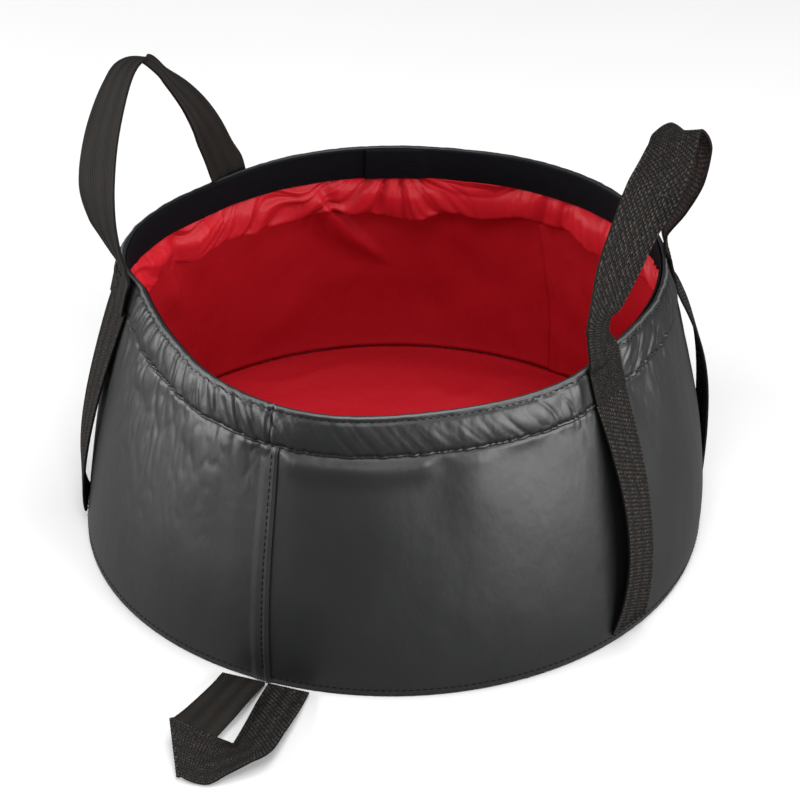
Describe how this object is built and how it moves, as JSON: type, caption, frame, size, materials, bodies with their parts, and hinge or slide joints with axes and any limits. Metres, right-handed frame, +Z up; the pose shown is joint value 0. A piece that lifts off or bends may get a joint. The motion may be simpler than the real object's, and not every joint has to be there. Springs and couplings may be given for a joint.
{
  "type": "collapsible camp washbasin",
  "caption": "Soft round camp basin with a lined double wall, a gathered stiffened rim, twisted webbing carry handles and a webbing pull loop at its foot.",
  "frame": {"origin": "centre of the underside, on the surface that the basin stands on", "axes": "+Z is up. The pull loop and the front seam are at -Y. The handles are at -X and +X."},
  "size_m": [0.3119, 0.3954, 0.2382],
  "materials": {
    "outer_fabric": "coated woven nylon, dark grey, soft sheen",
    "lining_fabric": "thin coated woven nylon, red, slightly glossy",
    "casing_fabric": "coated woven nylon, dark grey, gathered",
    "seam_tape": "heat-bonded translucent tape",
    "hoop_plastic": "smooth flat strip",
    "rim_webbing": "black ribbed webbing",
    "strap_webbing": "brownish black ribbed webbing"
  },
  "bodies": {
    "base": {"outer_base": "outer_fabric", "lining_base": "lining_fabric", "base_seam_tape": "seam_tape", "outer_wall_right": "outer_fabric", "outer_wall_left": "outer_fabric", "lining_wall_right": "lining_fabric", "lining_wall_left": "lining_fabric", "lining_front_seam_tape": "seam_tape", "lining_rear_seam_tape": "seam_tape", "left_front_leg": "strap_webbing", "left_rear_leg": "strap_webbing", "right_front_leg": "strap_webbing", "right_rear_leg": "strap_webbing"},
    "rim": {"rim_casing": "casing_fabric", "rim_hoop": "hoop_plastic", "rim_webbing": "rim_webbing", "left_front_anchor": "strap_webbing", "left_rear_anchor": "strap_webbing", "right_front_anchor": "strap_webbing", "right_rear_anchor": "strap_webbing"},
    "left_handle": {"left_handle": "strap_webbing"},
    "right_handle": {"right_handle": "strap_webbing"},
    "pull_loop": {"pull_loop": "strap_webbing"}
  },
  "joints": [
    {"name": "collapse", "type": "slide", "parent": "base", "child": "rim", "axis": [0, 0, 1], "range_m": [-0.112, 0], "deforming": ["outer_wall_right", "outer_wall_left", "lining_wall_right", "lining_wall_left", "lining_front_seam_tape", "lining_rear_seam_tape", "left_front_leg", "left_rear_leg", "right_front_leg", "right_rear_leg"]},
    {"name": "left_handle_fold", "type": "hinge", "parent": "rim", "child": "left_handle", "pos_m": [-0.11626, 0.00527, 0.151], "axis": [-0.0845, -0.9964, 0], "range_deg": [-85, 85]},
    {"name": "right_handle_fold", "type": "hinge", "parent": "rim", "child": "right_handle", "pos_m": [0.12056, 0.01107, 0.151], "axis": [-0.0158, 0.9999, 0], "range_deg": [-90, 90]},
    {"name": "pull_loop_lift", "type": "hinge", "parent": "base", "child": "pull_loop", "pos_m": [-0.005, -0.1582, 0.0013], "axis": [-1, 0, 0], "range_deg": [-100, 60]}
  ]
}
